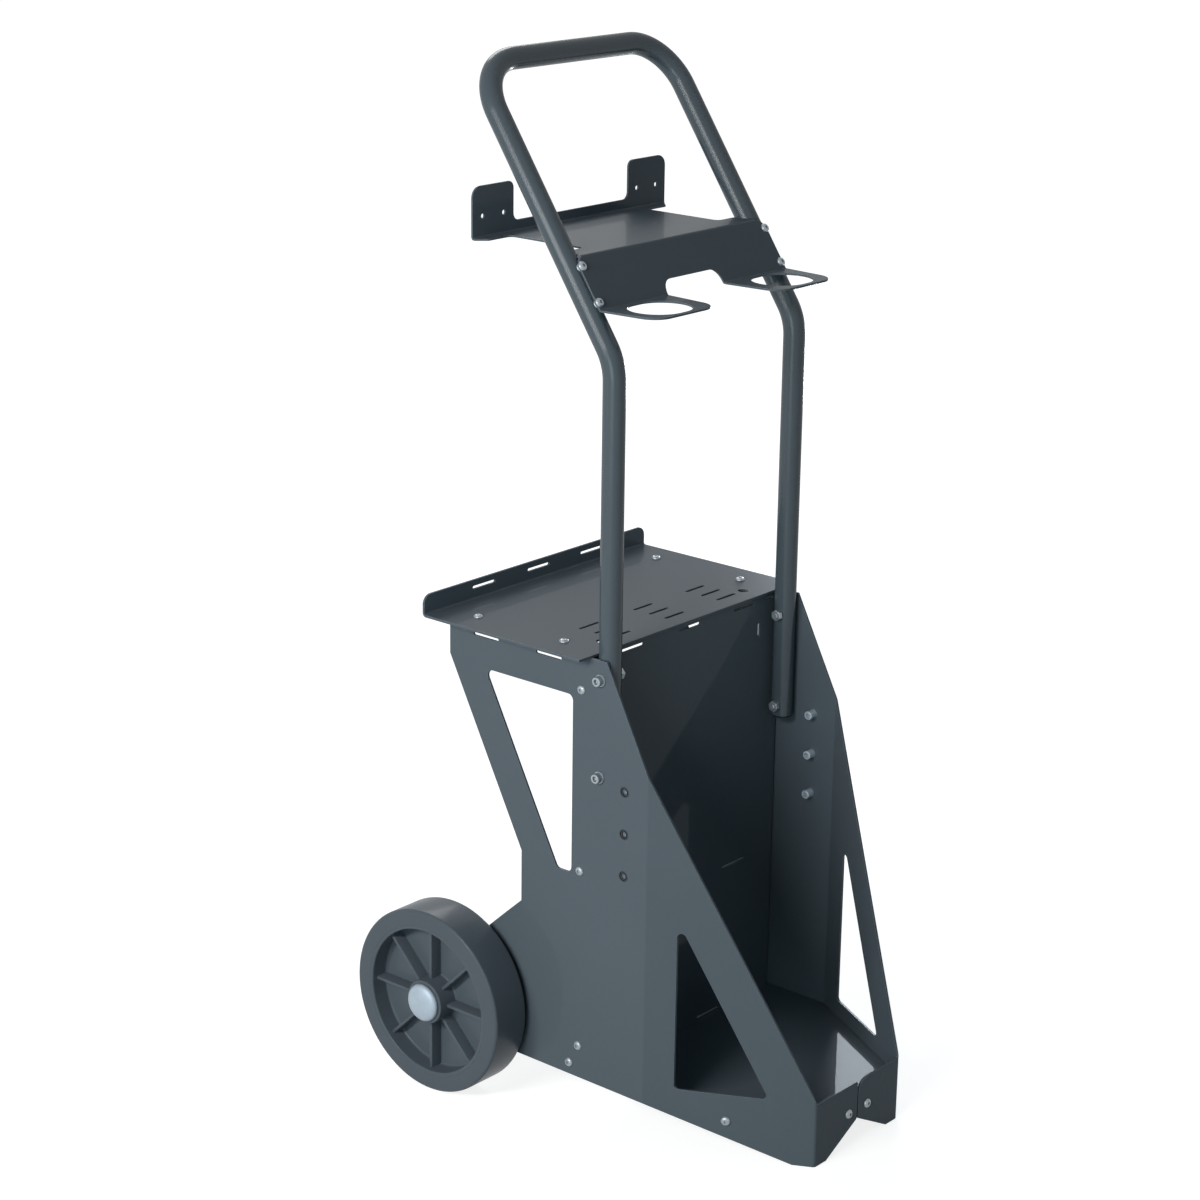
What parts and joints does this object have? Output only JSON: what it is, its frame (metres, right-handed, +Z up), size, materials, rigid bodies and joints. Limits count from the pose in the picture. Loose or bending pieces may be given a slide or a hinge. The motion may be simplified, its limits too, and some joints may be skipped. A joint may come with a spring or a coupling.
{
  "type": "welding cart",
  "caption": "Wheeled sheet-steel cart with a shelf for a welding machine, a bay for a gas bottle, a bent tube handle and a torch hanger.",
  "frame": {"origin": "on the ground, under the middle of the cart's footprint", "axes": "+X to the cart's right across its width, seen from behind the toe looking to the wheels; +Y from the toe to the wheels; +Z up"},
  "size_m": [0.4226, 0.4948, 1.0438],
  "materials": {
    "sheet_paint": "smooth semi-gloss slate grey powder coat",
    "tube_paint": "smooth glossy slate grey powder coat",
    "rim_plastic": "satin moulded grey plastic",
    "tyre_rubber": "satin grey solid rubber",
    "bush_plastic": "off-white nylon",
    "plug_plastic": "black moulded plastic",
    "axle_steel": "drawn zinc-plated bar",
    "cap_steel": "pressed zinc-plated cap",
    "zinc_steel": "bright zinc plate",
    "rivet_steel": "dull zinc plate"
  },
  "bodies": {
    "cart": {"side_panel_left": "sheet_paint", "side_panel_right": "sheet_paint", "shelf_plate": "sheet_paint", "bay_wall": "sheet_paint", "floor_tray": "sheet_paint", "handle_tube": "tube_paint", "tube_plugs": "plug_plastic", "torch_hanger": "sheet_paint", "axle": "axle_steel", "axle_washers": "zinc_steel", "axle_cap_left": "cap_steel", "axle_cap_right": "cap_steel", "shelf_screws": "zinc_steel", "shelf_nuts": "zinc_steel", "handle_bolts": "zinc_steel", "handle_washers": "zinc_steel", "handle_nuts": "zinc_steel", "hanger_screws": "zinc_steel", "hanger_inserts": "zinc_steel", "wall_screws": "zinc_steel", "wall_nuts": "zinc_steel", "floor_screws": "zinc_steel", "floor_nuts": "zinc_steel", "toe_screws": "zinc_steel", "toe_nuts": "zinc_steel", "rivet_nuts_left": "rivet_steel", "rivet_nuts_right": "rivet_steel"},
    "wheel_left": {"wheel_rim_left": "rim_plastic", "tyre_left": "tyre_rubber", "hub_bush_left": "bush_plastic"},
    "wheel_right": {"wheel_rim_right": "rim_plastic", "tyre_right": "tyre_rubber", "hub_bush_right": "bush_plastic"}
  },
  "joints": [
    {"name": "wheel_left_spin", "type": "hinge", "parent": "cart", "child": "wheel_left", "pos_m": [-0.179, 0.15035, 0.097], "axis": [1, 0, 0], "continuous": true},
    {"name": "wheel_right_spin", "type": "hinge", "parent": "cart", "child": "wheel_right", "pos_m": [0.179, 0.15035, 0.097], "axis": [1, 0, 0], "continuous": true}
  ]
}
